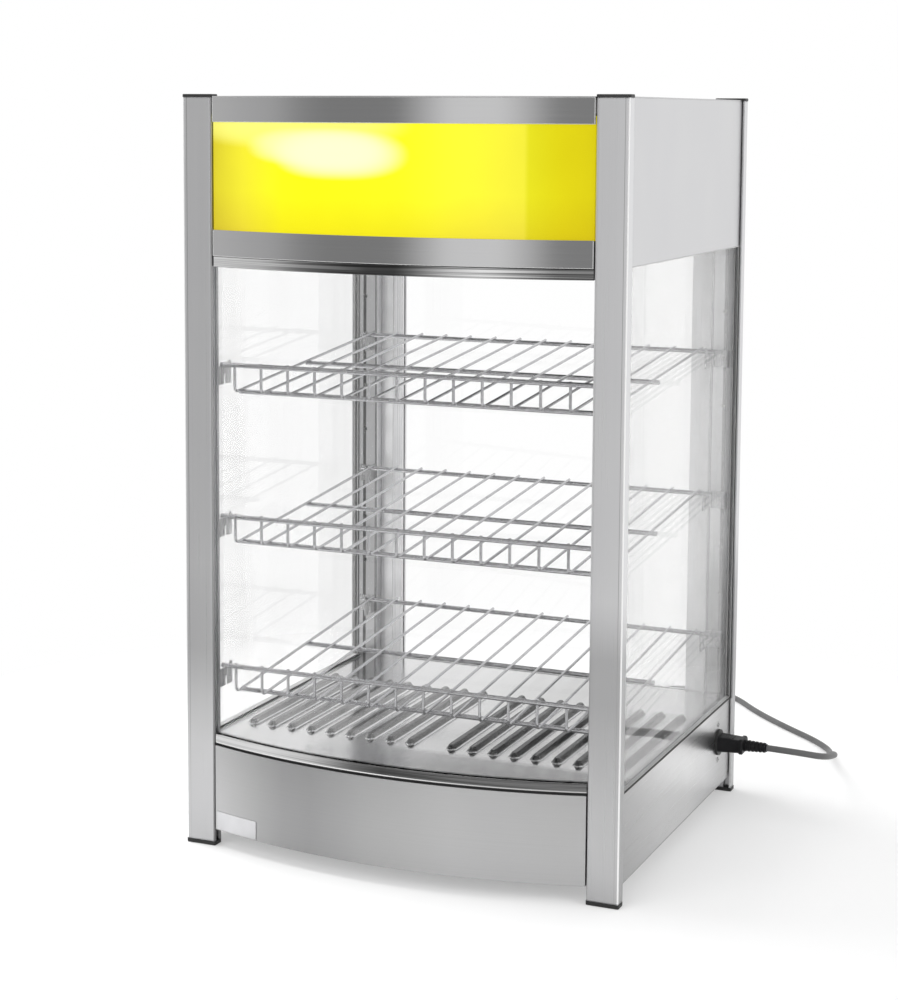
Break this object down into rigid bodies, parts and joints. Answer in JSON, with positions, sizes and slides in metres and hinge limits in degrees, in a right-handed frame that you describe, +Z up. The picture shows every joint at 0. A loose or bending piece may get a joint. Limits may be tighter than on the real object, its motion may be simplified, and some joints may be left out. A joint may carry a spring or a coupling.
{
  "type": "heated display case",
  "caption": "Free-standing glass display warmer with a bowed front, a lit sign head, sloping wire racks, a heated floor, a hinged rear door and a mains lead.",
  "frame": {"origin": "centre of the case's footprint, bow and door handle included, on the surface that the feet stand on", "axes": "+Z up; +Y from the bowed glass front to the door at the back; +X to the right seen from the front"},
  "size_m": [0.5908, 0.8338, 0.78],
  "materials": {
    "post_metal": "satin",
    "panel_steel": "satin",
    "rail_metal": "satin",
    "floor_metal": "satin",
    "hidden_sheet": "dull",
    "cap_plastic": "fine grain",
    "rocker_red": "smooth",
    "rocker_green": "smooth",
    "badge_metal": "satin",
    "seal_rubber": "matte",
    "clear_glass": "polished",
    "sign_acrylic": "translucent",
    "opal_acrylic": "translucent",
    "rack_chrome": "bright",
    "bracket_steel": "satin",
    "handle_metal": "satin",
    "element_sheath": "oxidised",
    "terminal_ceramic": "glazed",
    "holder_plastic": "smooth",
    "screw_steel": "bright",
    "cord_rubber": "matte",
    "plug_rubber": "fine grain"
  },
  "bodies": {
    "root": {"badge_plate": "badge_metal", "base_front_panel": "panel_steel", "base_rear_panel": "panel_steel", "base_side_left": "panel_steel", "base_side_right": "panel_steel", "base_tray": "hidden_sheet", "case_screws": "screw_steel", "ceiling_plate": "floor_metal", "ceiling_window": "opal_acrylic", "cord_coil": "cord_rubber", "cord_connector": "plug_rubber", "cord_strain_relief": "plug_rubber", "cord_tie": "plug_rubber", "door_catch": "cap_plastic", "element_supports": "hidden_sheet", "feet": "cap_plastic", "floor_plate": "floor_metal", "front_glass": "clear_glass", "header_rear_panel": "panel_steel", "header_side_left": "panel_steel", "header_side_right": "panel_steel", "heat_shield": "hidden_sheet", "heating_element": "element_sheath", "hinge_brackets": "bracket_steel", "lamp_bracket": "hidden_sheet", "lamp_holders": "holder_plastic", "lamp_tube": "clear_glass", "light_switch": "cap_plastic", "lower_glass_rail": "rail_metal", "lower_glass_seal": "seal_rubber", "mains_cord": "cord_rubber", "mains_plug": "plug_rubber", "post_back_left": "post_metal", "post_back_right": "post_metal", "post_front_left": "post_metal", "post_front_right": "post_metal", "power_inlet": "cap_plastic", "power_switch": "cap_plastic", "rack_brackets": "bracket_steel", "roof_plate": "panel_steel", "side_glass_left": "clear_glass", "side_glass_right": "clear_glass", "side_glass_seals": "seal_rubber", "sign_lower_rail": "rail_metal", "sign_panel": "sign_acrylic", "sign_upper_rail": "rail_metal", "terminal_block": "terminal_ceramic", "thermostat": "cap_plastic", "top_caps": "cap_plastic", "upper_glass_rail": "rail_metal"},
    "door": {"door_frame": "rail_metal", "door_glass": "clear_glass", "door_gasket": "seal_rubber", "door_handle": "handle_metal"},
    "top_rack": {"rack_top": "rack_chrome"},
    "middle_rack": {"rack_middle": "rack_chrome"},
    "bottom_rack": {"rack_bottom": "rack_chrome"},
    "knob": {"thermostat_knob": "cap_plastic"},
    "power_key": {"power_rocker": "rocker_red"},
    "light_key": {"light_rocker": "rocker_green"}
  },
  "joints": [
    {"name": "door_hinge", "type": "hinge", "parent": "root", "child": "door", "pos_m": [-0.21, 0.21175, 0.3565], "axis": [0, 0, 1], "range_deg": [0, 110]},
    {"name": "top_rack_lift", "type": "slide", "parent": "root", "child": "top_rack", "axis": [0, 0, 1], "range_m": [0, 0.015]},
    {"name": "middle_rack_lift", "type": "slide", "parent": "root", "child": "middle_rack", "axis": [0, 0, 1], "range_m": [0, 0.015]},
    {"name": "bottom_rack_lift", "type": "slide", "parent": "root", "child": "bottom_rack", "axis": [0, 0, 1], "range_m": [0, 0.015]},
    {"name": "thermostat_turn", "type": "hinge", "parent": "root", "child": "knob", "pos_m": [0.07, 0.20275, 0.043], "axis": [0, 1, 0], "range_deg": [0, 270]},
    {"name": "power_rock", "type": "hinge", "parent": "root", "child": "power_key", "pos_m": [-0.075, 0.20275, 0.043], "axis": [1, 0, 0], "range_deg": [-14, 0]},
    {"name": "light_rock", "type": "hinge", "parent": "root", "child": "light_key", "pos_m": [-0.045, 0.20275, 0.043], "axis": [1, 0, 0], "range_deg": [-14, 0]}
  ]
}
